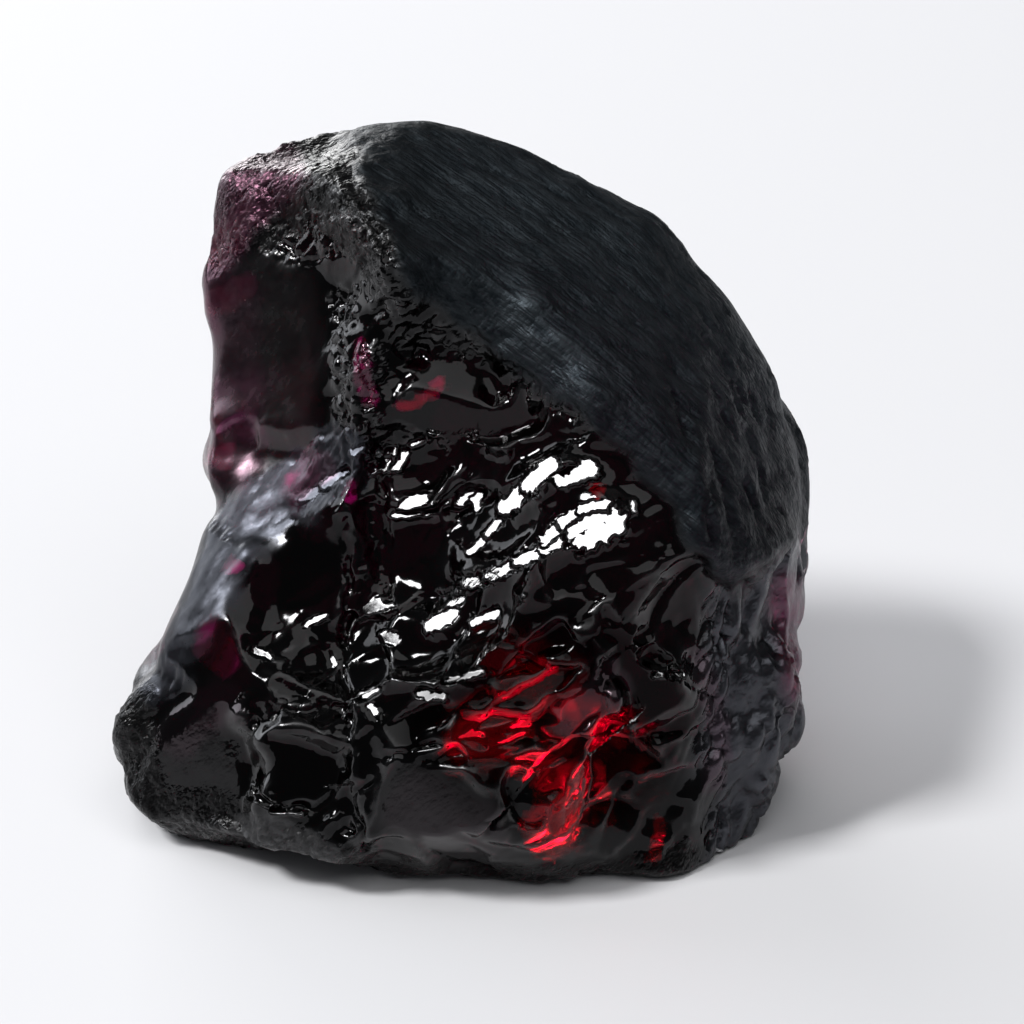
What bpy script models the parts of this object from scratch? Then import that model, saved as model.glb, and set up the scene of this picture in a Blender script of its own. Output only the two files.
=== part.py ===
"""Rough painite: one broken, water-worn lump of dark red crystal, about 30 mm across.

The lump is one solid. Its broad front leans back, so the form is drawn on that leaning front: an
outline seen square to it is swelled to a rounded body, flat faces are ground off the body, flakes
are struck out of it, and nodules, ledges, cracks, chips and knobs are then worked over its skin.
Every length is in millimetres until the last step. +Z is up, and the front faces -Y.
"""

import math

import bmesh
import bpy
import numpy as np
from mathutils import Vector, noise

NAME = "rough_painite"
MM = 0.001

# The body: an outline swelled to a depth in front of the middle and behind it.
LEAN = math.radians(28)
MIDDLE = np.array((-1.4, -0.2, 11.2))
DEPTH_FRONT = 11.5
DEPTH_BACK = 9.5
SWELL = 2.8
BODY_SUBDIVISIONS = 6

# The outline on the leaning front, anticlockwise from the right: mm across and mm up the lean.
OUTLINE = (
    (13.8, 0.0), (13.8, 2.5), (12.9, 6.4), (11.0, 9.6), (7.6, 12.9), (2.9, 15.9), (0.0, 17.0),
    (-3.0, 17.8), (-6.2, 17.8), (-9.1, 16.2), (-11.4, 13.6), (-12.1, 10.6), (-11.5, 8.0),
    (-11.6, 3.6), (-11.6, 1.6), (-12.2, -2.0), (-13.7, -5.0), (-15.9, -8.8), (-15.4, -12.0),
    (-12.6, -14.6), (-8.4, -15.2), (-3.5, -15.8), (0.2, -17.0), (5.5, -16.2), (10.4, -16.0),
    (13.2, -12.8), (13.5, -8.0), (13.9, -3.0),
)

# Flat faces ground off the body: the way each one faces, and a point on it.
FACES = (
    ((0.26, -0.32, 0.91), (-0.5, -2.5, 22.8)),
    ((0.50, -0.28, 0.82), (6.0, -2.0, 20.2)),
    ((0.76, -0.28, 0.59), (10.0, -1.0, 16.5)),
    ((-0.20, 0.02, 0.98), (-6.5, 3.0, 26.6)),
    ((0.05, -0.78, 0.62), (3.0, -7.6, 16.4)),
    ((0.05, -0.95, 0.32), (2.5, -11.0, 11.4)),
    ((0.00, -1.00, -0.05), (2.0, -13.5, 6.0)),
    ((0.00, -0.80, -0.60), (1.0, -13.8, 1.0)),
    ((0.60, -0.78, 0.15), (9.0, -9.0, 8.0)),
    ((-0.38, -0.89, 0.26), (-13.0, -9.4, 5.0)),
    ((0.10, 0.99, 0.15), (0.0, 9.6, 13.0)),
    ((0.00, 0.70, -0.70), (0.0, 7.4, 2.0)),
    ((0.00, 0.00, -1.0), (0.0, 0.0, -2.5)),
)
FACE_CRISPNESS = 40

# Flakes struck off: the deepest point of each, the way the flake flew, and its ball's radius.
FLAKES = (
    ((-9.2, 0.1, 19.0), (-0.60, -0.68, 0.42), 26.0),
    ((-14.5, -4.3, 9.7), (-0.72, -0.34, 0.60), 30.0),
    ((-8.5, -5.4, 11.4), (-0.15, -0.90, 0.40), 5.0),
    ((-3.4, -4.6, 14.4), (-0.10, -0.85, 0.52), 4.5),
    ((-3.7, -6.2, 12.1), (-0.10, -0.92, 0.38), 3.6),
    ((-1.3, -3.8, 18.4), (-0.15, -0.72, 0.68), 8.0),
    ((-14.4, -7.3, 6.6), (-0.66, -0.72, 0.22), 7.0),
    ((-9.3, -9.7, -0.3), (-0.15, -0.80, -0.58), 9.0),
    ((10.5, -9.8, -0.4), (0.45, -0.72, -0.53), 10.0),
    ((7.6, -8.8, 10.8), (0.50, -0.84, 0.22), 6.0),
    ((5.4, -11.2, 4.0), (0.30, -0.95, 0.05), 7.0),
    ((3.5, 6.0, 6.0), (0.10, 0.95, -0.30), 11.0),
    ((-7.0, 6.2, 14.0), (-0.45, 0.87, 0.20), 16.0),
    ((5.5, 8.2, 16.5), (0.35, 0.88, 0.32), 20.0),
    ((-9.5, 4.6, 5.0), (-0.55, 0.80, -0.24), 13.0),
    ((11.0, 4.5, 9.0), (0.80, 0.60, 0.05), 14.0),
)
FLAKE_SUBDIVISIONS = 5

# Nodules grown on the front: place on the front, half width across, half height up, and rise.
NODULES = (
    ((-7.8, -10.4), 2.6, 2.6, 1.1),
    ((-7.6, -13.0), 2.6, 1.8, 0.9),
    ((-4.2, -10.2), 1.3, 2.2, 0.6),
    ((-1.8, -12.6), 3.4, 2.8, 0.9),
    ((-5.2, 6.2), 0.9, 1.6, 0.5),
)
# Hollows sunk in the front, in the same words.
HOLLOWS = (
    ((-7.9, -9.9), 1.9, 1.2, 1.1),
    ((-4.4, -9.8), 0.8, 1.1, 0.7),
)

# Ledges stepped down the front: crest line on the front, rise, run above it and run below it.
LEDGES = (
    (((-3.0, 3.3), (-1.0, 3.5), (1.2, 3.4), (3.4, 3.9), (5.4, 3.6)), 0.9, 2.2, 0.7),
    (((-4.0, 0.2), (-1.9, 0.5), (-0.5, 1.3), (1.2, 1.7)), 0.8, 1.2, 0.6),
    (((0.2, -1.2), (0.8, 0.0), (1.8, 1.0), (3.2, 2.1), (4.6, 2.4)), 1.0, 1.4, 0.8),
    (((-0.9, -2.8), (1.0, -2.2), (3.3, -0.6), (5.2, 0.4), (6.6, 0.0)), 1.1, 1.5, 0.9),
    (((-3.0, -4.4), (-1.2, -4.1), (-0.4, -3.0)), 0.7, 1.0, 0.6),
    (((-3.6, -6.8), (-1.8, -7.0), (0.4, -6.4)), 0.6, 1.2, 0.6),
    (((-10.8, 0.2), (-8.6, 1.4), (-6.0, 3.0)), 0.7, 1.4, 0.8),
    (((6.0, -5.9), (7.6, -6.2), (9.0, -5.8)), 0.6, 1.6, 0.6),
    (((8.8, 6.4), (9.2, 2.9), (9.4, -0.8)), 0.35, 1.8, 0.5),
    (((10.0, 5.6), (10.6, 3.2), (11.2, 0.6)), 0.35, 1.4, 0.5),
    (((-4.8, 12.6), (-4.3, 10.9), (-3.5, 9.2), (-2.6, 7.8), (-0.4, 7.3), (2.4, 5.9)), 0.7, 1.6, 0.6),
)

# Cracks between the blocks: line on the front, depth and half width.
CRACKS = (
    (((-4.4, 3.2), (-4.3, 0.4), (-4.2, -3.2), (-5.8, -4.6), (-6.0, -8.6), (-5.9, -13.0)), 0.7, 0.6),
    (((-10.4, -8.4), (-8.4, -8.0), (-5.6, -8.0)), 0.6, 0.5),
    (((-3.6, -13.0), (-4.6, -16.0)), 0.9, 0.9),
)

# Chips struck all over the broken skin: how many, radius from and to, and depth.
CHIPS = (150, 1.8, 4.2, 1.1)
# Smooth parts of the front with hardly a chip in them: place on the front, and radius.
SMOOTH = (((-8.4, 7.8), 5.2), ((-10.6, -10.2), 3.6), ((-12.0, -3.0), 4.0), ((-1.4, 5.0), 2.0))
SMOOTHNESS = 0.85
# Grains that stand up along the worn skin's edge: line on the front, spread, count, sizes and rise.
GRAIN_LINE = (
    (-10.6, 13.2), (-7.6, 14.4), (-5.0, 12.6), (-4.3, 10.9), (-3.2, 8.8), (-1.6, 7.5), (1.6, 7.0),
)
GRAINS = (90, 0.55, 1.0, 0.34, 1.0)
GRAIN_SPREAD = 1.0
# Knobs on the right flank: how many, radius from and to, rise, and how much taller than wide.
KNOBS = (44, 0.9, 1.7, 0.8, 1.5)
# The right flank: it comes in over these measures to the right, and over these heights.
FLANK_START = (9.0, 11.5)
FLANK_FOOT = (1.0, 3.0)
SEED = 7
FAINT = 1e-9

# The worn skin's edge on the front: above and to the right of this line the lump is ground smooth.
WORN_EDGE = (
    (-6.9, 19.0), (-4.6, 13.5), (-3.8, 11.1), (-2.1, 9.0), (1.2, 6.7), (4.6, 4.1), (7.0, 1.9),
    (9.0, -1.3), (10.6, -3.2), (14.0, -0.8), (18.0, 1.0),
)
# The height on the back above which it is ground smooth too.
WORN_FOOT = 15.0
# Unevenness of the flakes and of every line on the front: wavelength and how far it strays.
RIPPLE = (3.2, 0.55)
STRAY = (2.4, 0.7)

# How finely the skin is laid out and evened before the points that carry no shape are let go.
SKIN_VOXEL = 0.38
EASE_FACTOR = 0.5
EASE_PASSES = 2
MOST_TRIANGLES = 10400

# The middle of the seat in these measures, put over the origin at the end.
SEAT = np.array((-2.077, -2.117, 0.0))

ACROSS = np.array((1.0, 0.0, 0.0))
UP_LEAN = np.array((0.0, math.sin(LEAN), math.cos(LEAN)))
OUTWARD = np.array((0.0, -math.cos(LEAN), math.sin(LEAN)))


def unit(vector):
    """The vector at length 1."""
    vector = np.array(vector, float)
    return vector / np.linalg.norm(vector)


def smooth_step(low, high, value):
    """0 below low, 1 above high, and an easy curve between."""
    share = np.clip((value - low) / (high - low), 0.0, 1.0)
    return share * share * (3 - 2 * share)


def on_front(points):
    """Points as mm across and mm up the leaning front, straying a little as natural lines do."""
    wave, stray = STRAY
    across = (points - MIDDLE) @ ACROSS + rippled(points, wave, stray)
    up = (points - MIDDLE) @ UP_LEAN + rippled(points + 50.0, wave, stray)
    return np.stack([across, up], 1)


def points_of(mesh):
    """A mesh's vertices in mm."""
    flat = np.empty(len(mesh.vertices) * 3, np.float32)
    mesh.vertices.foreach_get("co", flat)
    return flat.reshape(-1, 3).astype(float) / MM


def normals_of(mesh):
    """A mesh's vertex normals."""
    flat = np.empty(len(mesh.vertices) * 3, np.float32)
    mesh.vertex_normals.foreach_get("vector", flat)
    return flat.reshape(-1, 3).astype(float)


def put_points(mesh, points):
    """Moves a mesh's vertices to points in mm."""
    mesh.vertices.foreach_set("co", (points * MM).astype(np.float32).ravel())
    mesh.update()


def rippled(points, wave, height):
    """A smooth uneven value at each point, from -height to height, changing over a wave's length."""
    return height * np.array([noise.noise(Vector(point) / wave) for point in points])


# --- The body ---------------------------------------------------------------------------------


def crossed(first, second):
    """The cross product of vectors on the front: over 0 where the second lies to the first's left."""
    return first[..., 0] * second[..., 1] - first[..., 1] * second[..., 0]


def outline_reach(angle):
    """How far the outline's straight sides lie from the middle, at each angle on the front."""
    corners = np.array(OUTLINE)
    at = np.arctan2(corners[:, 1], corners[:, 0])
    order = np.argsort(at)
    corners, at = corners[order], at[order]
    after = np.searchsorted(at, angle) % len(corners)
    start, side = corners[after - 1], corners[after] - corners[after - 1]
    way = np.stack([np.cos(angle), np.sin(angle)], 1)
    return crossed(start, side) / crossed(way, side)


def swelled_reach(ways):
    """How far the swelled outline reaches along each way from the middle."""
    across, up, out = ways @ ACROSS, ways @ UP_LEAN, ways @ OUTWARD
    flat = np.hypot(across, up) / outline_reach(np.arctan2(up, across))
    deep = np.abs(out) / np.where(out > 0, DEPTH_FRONT, DEPTH_BACK)
    return (flat ** SWELL + deep ** SWELL) ** (-1 / SWELL)


def ground_reach(ways):
    """The swelled outline with the flat faces ground off it, their edges a little rounded."""
    total = swelled_reach(ways) ** -FACE_CRISPNESS
    for facing, point in FACES:
        distance = unit(facing) @ (np.array(point) - MIDDLE)
        total += np.maximum(0.0, ways @ unit(facing) / distance) ** FACE_CRISPNESS
    return total ** (-1 / FACE_CRISPNESS)


def ball(name, centre, radius, subdivisions):
    """A ball as its own object, sizes in mm."""
    mesh = bpy.data.meshes.new(name)
    bm = bmesh.new()
    bmesh.ops.create_icosphere(bm, subdivisions=subdivisions, radius=radius * MM)
    bmesh.ops.translate(bm, verts=bm.verts, vec=Vector(centre) * MM)
    bm.to_mesh(mesh)
    bm.free()
    obj = bpy.data.objects.new(name, mesh)
    bpy.context.scene.collection.objects.link(obj)
    return obj


def make_body():
    """A ball pushed out to the ground body."""
    body = ball(NAME, MIDDLE, 1.0, BODY_SUBDIVISIONS)
    ways = points_of(body.data) - MIDDLE
    ways /= np.linalg.norm(ways, axis=1)[:, None]
    put_points(body.data, MIDDLE + ways * ground_reach(ways)[:, None])
    return body


def settle_modifiers(obj):
    """Turns an object's modifiers into its mesh."""
    bpy.context.view_layer.update()
    graph = bpy.context.evaluated_depsgraph_get()
    obj.data = bpy.data.meshes.new_from_object(obj.evaluated_get(graph))
    obj.modifiers.clear()


def strike_flakes(body):
    """Cuts a ball out of the body for each flake, and evens the mesh."""
    cutters = []
    for deepest, flew, radius in FLAKES:
        centre = np.array(deepest) + radius * unit(flew)
        cutter = ball("flake_cutter", centre, radius, FLAKE_SUBDIVISIONS)
        points = points_of(cutter.data)
        ways = (points - centre) / radius
        put_points(cutter.data, points + ways * rippled(points, *RIPPLE)[:, None])
        cutters.append(cutter)
        cut = body.modifiers.new("flake", "BOOLEAN")
        cut.operation = "DIFFERENCE"
        cut.object = cutter
    even = body.modifiers.new("even", "REMESH")
    even.mode = "VOXEL"
    even.voxel_size = SKIN_VOXEL * MM
    settle_modifiers(body)
    for cutter in cutters:
        bpy.data.objects.remove(cutter)


# --- The skin ---------------------------------------------------------------------------------


def along_line(places, line):
    """Each place's distance from a line on the front, its side (1 on the left) and its share of the way."""
    line = np.array(line, float)
    best = np.full(len(places), np.inf)
    side = np.ones(len(places))
    share = np.zeros(len(places))
    lengths = np.linalg.norm(np.diff(line, axis=0), axis=1)
    before = np.concatenate([[0.0], np.cumsum(lengths)])
    for i, (start, end) in enumerate(zip(line[:-1], line[1:])):
        run = end - start
        t = np.clip((places - start) @ run / lengths[i] ** 2, 0.0, 1.0)
        off = places - start - t[:, None] * run
        distance = np.linalg.norm(off, axis=1)
        nearer = distance < best
        best = np.where(nearer, distance, best)
        side = np.where(nearer, np.sign(crossed(run, off)), side)
        share = np.where(nearer, (before[i] + t * lengths[i]) / before[-1], share)
    return best, side, share


def front_relief(places):
    """How far the nodules, hollows, ledges and cracks stand out from the front, in mm."""
    rise = np.zeros(len(places))
    for (across, up), wide, tall, height in NODULES:
        off = ((places[:, 0] - across) / wide) ** 2 + ((places[:, 1] - up) / tall) ** 2
        rise = np.maximum(rise, height * np.sqrt(np.maximum(0.0, 1 - off)))
    for line, height, above, below in LEDGES:
        distance, side, share = along_line(places, line)
        run = np.where(side > 0, above, below)
        fade = np.minimum(1.0, 5 * np.minimum(share, 1 - share) + 0.25)
        rise += height * fade * np.maximum(0.0, 1 - distance / run)
    for (across, up), wide, tall, height in HOLLOWS:
        off = ((places[:, 0] - across) / wide) ** 2 + ((places[:, 1] - up) / tall) ** 2
        rise -= height * np.maximum(0.0, 1 - off)
    for line, depth, half_width in CRACKS:
        distance, _, _ = along_line(places, line)
        rise -= depth * np.maximum(0.0, 1 - distance / half_width)
    return rise


def worn_share(points, places, normals):
    """1 on the worn skin over the top, right and upper back, 0 on the broken skin."""
    distance, side, _ = along_line(places, WORN_EDGE)
    front = smooth_step(-0.6, 0.6, distance * side)
    back = smooth_step(-1.5, 1.5, points[:, 2] - WORN_FOOT)
    return np.where(normals @ OUTWARD > 0, front, back)


def smooth_share(places, normals):
    """1 in the middle of the smooth parts of the front, 0 away from them."""
    share = np.zeros(len(places))
    for centre, radius in SMOOTH:
        distance = np.linalg.norm(places - centre, axis=1)
        share = np.maximum(share, smooth_step(0.0, 0.3, 1 - distance / radius))
    return share * (normals @ OUTWARD > 0)


def chip_depth(points, seeds, sizes, depth):
    """How deep the chips cut: overlapping round hollows that meet in sharp arrises."""
    cut = np.zeros(len(points))
    for seed, size in zip(seeds, sizes):
        off = ((points - seed) ** 2).sum(1) / size ** 2
        cut = np.maximum(cut, depth * size / sizes.max() * (1 - off))
    return cut


def knob_rise(points, seeds, sizes, rise, tall):
    """How far the knobs stand out: overlapping round lumps, taller than they are wide."""
    up = np.zeros(len(points))
    for seed, size in zip(seeds, sizes):
        off = (((points - seed) / (size * np.array((1.0, 1.0, tall)))) ** 2).sum(1)
        up = np.maximum(up, rise * size / sizes.max() * (1 - off))
    return up


def spread_seeds(random, points, weights, count):
    """A scatter of points on the skin, drawn by weight."""
    return points[random.choice(len(points), count, replace=False, p=weights / weights.sum())]


def chips_cut(random, points, places, normals, broken):
    """How deep the chips cut into the broken skin, least in its smooth parts."""
    count, least, most, depth = CHIPS
    seeds = spread_seeds(random, points, broken + FAINT, count)
    rough = broken * (1 - SMOOTHNESS * smooth_share(places, normals))
    return chip_depth(points, seeds, random.uniform(least, most, count), depth) * rough


def grains_raised(random, points, places, faces_front):
    """How far the grains along the worn skin's edge stand out."""
    distance, _, _ = along_line(places, GRAIN_LINE)
    near = np.exp(-(distance / GRAIN_SPREAD) ** 2) * faces_front
    count, least, most, rise, tall = GRAINS
    seeds = spread_seeds(random, points, near + FAINT, count)
    return knob_rise(points, seeds, random.uniform(least, most, count), rise, tall)


def knobs_raised(random, points, broken):
    """How far the knobs on the right flank stand out."""
    flank = smooth_step(*FLANK_START, points[:, 0]) * smooth_step(*FLANK_FOOT, points[:, 2]) * broken
    count, least, most, rise, tall = KNOBS
    seeds = spread_seeds(random, points, flank + FAINT, count)
    return knob_rise(points, seeds, random.uniform(least, most, count), rise, tall) * flank


def work_skin(stone):
    """Raises and cuts the skin: the front's relief, then chips, grains and knobs."""
    random = np.random.RandomState(SEED)
    points, normals = points_of(stone.data), normals_of(stone.data)
    places = on_front(points)
    faces_front = smooth_step(0.0, 0.35, normals @ OUTWARD)
    broken = 1 - worn_share(points, places, normals)
    points += OUTWARD * (front_relief(places) * faces_front)[:, None]
    cut = chips_cut(random, points, places, normals, broken)
    raised = grains_raised(random, points, places, faces_front) + knobs_raised(random, points, broken)
    put_points(stone.data, points + normals * (raised - cut)[:, None])


def smooth_skin(stone):
    """Evens the skin's points out a little."""
    ease = stone.modifiers.new("ease", "SMOOTH")
    ease.factor = EASE_FACTOR
    ease.iterations = EASE_PASSES
    settle_modifiers(stone)


def seat_flat(stone):
    """Cuts the lump off flat where it rests, and closes the cut with one flat face."""
    bm = bmesh.new()
    bm.from_mesh(stone.data)
    pieces = bm.verts[:] + bm.edges[:] + bm.faces[:]
    cut = bmesh.ops.bisect_plane(bm, geom=pieces, plane_co=(0, 0, 0), plane_no=(0, 0, -1), clear_outer=True)
    rim = [piece for piece in cut["geom_cut"] if isinstance(piece, bmesh.types.BMEdge)]
    bmesh.ops.edgeloop_fill(bm, edges=rim)
    bmesh.ops.triangulate(bm, faces=bm.faces)
    bmesh.ops.recalc_face_normals(bm, faces=bm.faces)
    bmesh.ops.translate(bm, verts=bm.verts, vec=Vector(-SEAT * MM))
    bm.to_mesh(stone.data)
    bm.free()


def thin_out(stone):
    """Lets go of the points that carry no shape."""
    triangles = sum(len(polygon.vertices) - 2 for polygon in stone.data.polygons)
    thin = stone.modifiers.new("thin", "DECIMATE")
    thin.ratio = min(1.0, MOST_TRIANGLES / triangles)
    settle_modifiers(stone)


def painite_material():
    """Dark red crystal."""
    material = bpy.data.materials.new("painite")
    material.use_nodes = True
    shader = material.node_tree.nodes["Principled BSDF"]
    shader.inputs["Base Color"].default_value = (0.10, 0.008, 0.016, 1.0)
    shader.inputs["Roughness"].default_value = 0.25
    shader.inputs["Metallic"].default_value = 0.0
    return material


def clear_scene():
    """Removes every object."""
    for obj in list(bpy.data.objects):
        bpy.data.objects.remove(obj)


def main():
    """Builds the lump."""
    clear_scene()
    stone = make_body()
    strike_flakes(stone)
    work_skin(stone)
    smooth_skin(stone)
    thin_out(stone)
    seat_flat(stone)
    stone.data.materials.append(painite_material())
    stone.name = NAME
    return stone


main()
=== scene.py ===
"""Rough painite: the finished surface of one broken, worn lump of dark red crystal.

The lump is carved from a copy of its solid: laid out finely, then worn, scarred, broken into
shards, raised in lumps, cut into facets and flat treads, and cracked. What each stretch of skin is
like is kept on the mesh as attributes, which the crystal's material reads; among them are painted
shade and painted glow in what the skin lets pass, and painted tints in what it mirrors.
"""

import math
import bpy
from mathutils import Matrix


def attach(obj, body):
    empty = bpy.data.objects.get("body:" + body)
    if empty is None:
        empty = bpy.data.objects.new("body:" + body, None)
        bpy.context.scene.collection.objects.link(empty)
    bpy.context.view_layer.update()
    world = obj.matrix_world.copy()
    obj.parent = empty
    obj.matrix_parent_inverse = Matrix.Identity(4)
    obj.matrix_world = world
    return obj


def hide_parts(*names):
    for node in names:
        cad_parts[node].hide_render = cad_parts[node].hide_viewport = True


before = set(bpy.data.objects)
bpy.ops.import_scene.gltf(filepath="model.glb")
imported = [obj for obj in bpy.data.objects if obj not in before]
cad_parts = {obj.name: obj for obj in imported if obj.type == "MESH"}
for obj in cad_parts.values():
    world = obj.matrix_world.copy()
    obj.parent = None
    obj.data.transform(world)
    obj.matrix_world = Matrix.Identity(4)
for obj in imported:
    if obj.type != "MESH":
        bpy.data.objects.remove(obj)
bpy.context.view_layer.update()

from types import SimpleNamespace

import bpy
import numpy as np
from mathutils import Matrix, Vector, kdtree, noise

MM = 0.001

# The leaning front, on which places are given: mm across and mm up the lean from its middle.
LEAN = math.radians(28)
MIDDLE = np.array((0.677, 1.917, 11.2))
ACROSS = np.array((1.0, 0.0, 0.0))
UP_LEAN = np.array((0.0, math.sin(LEAN), math.cos(LEAN)))
OUTWARD = np.array((0.0, -math.cos(LEAN), math.sin(LEAN)))

# How finely the skin is laid out in mm, how often it is then eased, and where on the front it is finer.
SKIN_VOXEL = 0.265
EASE_PASSES = 5
FINE_LEFT, FINE_RIGHT = -13.5, 10.5
FINE_LOW, FINE_HIGH = -14.0, 14.5
# It isn't finer where it is this worn and not this grainy, nor where it is this smooth.
FINE_WORN, FINE_GRAINY, FINE_SMOOTH = 0.7, 0.3, 0.9
# What every random draw starts from.
SEED = 11
# Points closer than this, in metres, are merged.
MERGE_GAP = 1e-6
# A weight, or a distance in mm, that is next to nothing.
FAINT = 1e-9

# How squarely skin faces out of the front, -1 to 1: from where it counts a little to where fully.
FULL_FRONT, SKIN_FRONT, CUT_FRONT = (0.1, 0.4), (-0.1, 0.2), (-0.2, 0.1)
CROWN_FRONT, FROST_FRONT, WIDE_FRONT = (-0.5, 0.0), (-0.6, -0.3), (-0.9, -0.5)
SHARD_FRONT = (0.05, 0.4)
# And from where it may be laid out finer, finer still, and cracked.
FINE_FROM, FINER_FROM, CRACKED_FROM = 0.25, 0.1, 0.1

# How far edges of zones and breaks sway, over what length, in mm, and a shift for each direction.
WORN_SWAY = (0.5, 1.6, (0.0, 40.0))
CRACK_SWAY = (0.3, 0.8, (0.0, 20.0))
FILM_SWAY = (0.35, 0.9, (0.0, 15.0))
LUMP_SWAY = (0.15, 0.8, (7.0, 23.0, 71.0))
SHARD_SWAY = (0.12, 0.7, (0.0, 31.0, 57.0))
# How far the widths of lines, facets and treads vary, as a share, and over what length in mm.
LINE_FRAY, FACET_FRAY, TREAD_FRAY = ((0.5, 0.9),), ((0.5, 1.5),), ((0.45, 0.4), (0.3, 0.17))
# How softly films, facets and treads end: how broad the edge is and where it ends, in half widths.
FILM_EDGE, FACET_EDGE, TREAD_EDGE = (0.5, 1.25), (0.5, 1.4), (0.2, 1.2)
# How soft edges are, as a share of the size: inwards on spots, to either side on lines and stretches.
SPOT_EDGE, LINE_EDGE, STRETCH_EDGE = 0.35, 0.25, 0.15

# The worn crown lies above and to the right of this line on the front, and above this height behind.
WORN_EDGE = (
    (-6.9, 19.0), (-5.4, 16.4), (-4.4, 13.2), (-3.5, 10.5), (-2.0, 8.7), (-0.3, 7.8), (1.3, 6.4),
    (3.0, 4.9), (4.6, 3.9), (6.0, 2.9), (7.0, 1.7), (8.0, 0.0), (9.0, -1.6), (10.6, -3.3),
    (12.0, -1.6), (13.3, -1.0), (18.0, 1.0),
)
WORN_FOOT = 15.0
# How soft its edge is to either side, on the front and behind, and how far it sways behind and over
# what length, in mm.
WORN_EDGE_SOFT, WORN_FOOT_SOFT = 0.35, 1.5
WORN_FOOT_SWAY = (2.0, 4.0)

# Edges pulled into line: place on the front, reach, and pull across and up the lean.
PULLS = (
    ((-8.8, 15.5), 4.2, (-0.10, 0.75)), ((-12.2, 9.8), 3.4, (-0.30, 0.0)),
    ((-11.6, 2.2), 2.0, (-0.60, 0.0)), ((-14.0, -12.0), 2.6, (-0.65, -0.2)),
    ((-15.8, -8.0), 2.2, (0.35, 0.0)), ((13.4, -8.4), 3.0, (0.60, 0.0)),
    ((10.8, -12.4), 2.6, (-0.30, 0.0)), ((9.2, -13.2), 2.2, (0.10, -0.35)),
    ((7.4, 12.7), 3.5, (0.25, 0.25)),
)
# Corners blunted at the end, as place and radius, and the one then drawn out again.
BLUNTED = (((-10.6, 14.4), 1.8), ((-8.2, 16.2), 1.8), ((14.6, -4.0), 1.8))
BLUNT_PASSES = 12
LAST_PULLS = (((-10.5, 14.0), 2.8, (-0.35, 0.65)),)

# Smooth parts of the front, hardly broken: place on the front, and radius.
SMOOTH = (
    ((-8.8, 7.4), 3.8), ((-11.6, -10.2), 3.2), ((-12.0, -3.0), 3.4), ((-1.2, 5.2), 2.0),
    ((-7.4, -1.6), 2.2), ((-2.2, -1.6), 1.6), ((-7.6, -9.6), 1.8), ((-9.0, 0.8), 2.4),
    ((-12.6, 10.6), 2.0), ((-10.6, 12.4), 2.4), ((-8.6, 14.6), 2.4), ((-6.6, 16.4), 2.4),
)
# How often they are eased, and how much less they are broken.
SMOOTH_PASSES, SMOOTH_SHELTER = 20, 0.9
# The window's stretch of the front, levelled before it is broken again.
LEVELLED = (((2.4, -8.0), 6.2), ((4.0, -10.5), 5.0), ((-1.6, -12.0), 3.0))
LEVEL_PASSES = 50
# How often the skin that faces away from the front, and its sharp crests, are eased.
BACK_PASSES, CREST_PASSES = 3, 2
# How sharply a ridge bends, per mm, from where it counts a little to where fully, and how often that
# is evened out over its neighbours.
RIDGE_BEND, RIDGE_PASSES = (0.35, 1.3), 3
# How much of a ridge it takes to be eased as a crest.
CREST_SHARE = (0.6, 1.0)

# Grainy stretches: lines on the front, each with its half width.
GRAINY = (
    (((-9.0, 12.6), (-8.0, 11.6), (-6.6, 11.4)), 0.7),
    (((-4.6, 12.1), (-4.0, 10.6), (-3.4, 9.0), (-2.7, 7.8), (-1.6, 7.3), (0.1, 7.2)), 0.9),
    (((-5.7, 9.4), (-5.5, 7.9), (-5.5, 5.6), (-5.2, 3.8)), 0.6),
    (((0.1, 7.2), (1.3, 6.4), (3.0, 4.9), (4.6, 3.9)), 0.3),
    (((-4.3, 7.0), (-4.4, 4.6), (-4.2, 2.4)), 0.5),
    (((-10.0, -9.6), (-9.2, -7.9), (-7.3, -7.7), (-5.4, -7.6)), 0.35),
    (((-3.6, 3.5), (-2.0, 3.4), (-0.3, 3.5), (1.3, 3.3)), 0.3), (((-1.3, -2.9), (0.6, -2.4)), 0.4),
)

# Frosted stretches of fine even grain, likewise.
FROSTED = (
    (((-11.0, 12.2), (-9.6, 14.4), (-7.4, 16.0), (-5.6, 15.6)), 1.7),
    (((-9.2, 13.2), (-6.6, 13.6), (-4.4, 11.9)), 1.5),
    (((-14.6, -7.6), (-14.6, -10.2), (-14.0, -12.4), (-12.6, -13.4)), 1.0),
    (((-12.6, -12.2), (-9.0, -13.6), (-5.0, -14.6)), 1.3),
    (((-5.0, -14.6), (0.0, -14.9), (4.6, -14.9), (8.6, -14.2)), 0.7),
)
# The brushed slope on the left, likewise.
SLOPE = ((((-13.4, -6.0), (-12.5, -4.2), (-11.0, -1.7), (-9.8, 0.0), (-7.5, 1.3), (-6.0, 2.4)), 1.5),)

# Shell-shaped scars: where, how many, radius from and to, and depth in mm.
SCARS = (
    ("broken", 260, 1.0, 2.4, 0.17),
    ("broken", 500, 0.4, 0.8, 0.035),
    ("worn", 170, 0.5, 1.3, 0.11),
)
# Rounded lumps packed side by side: where, how many, how high in mm, how drawn out, and which way.
LUMPS = (
    ("flank", 110, 0.75, 3.2, (0.15, 1.0)),
    ("flank", 260, 0.07, 3.2, (0.3, 1.0)),
    ("grainy", 260, 0.32, 1.3, (0.8, 0.5)),
    ("frosted", 420, 0.18, 1.4, (0.6, -0.8)),
    ("frosted", 1500, 0.10, 1.4, (0.6, -0.8)),
    ("slope", 70, 0.09, 8.0, (0.64, 0.77)),
)
# The lowest lump's share of the height, and how much of each lump's height is sunk in the skin.
LUMP_LEAST, LUMP_SUNK = 0.4, 0.6
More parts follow.
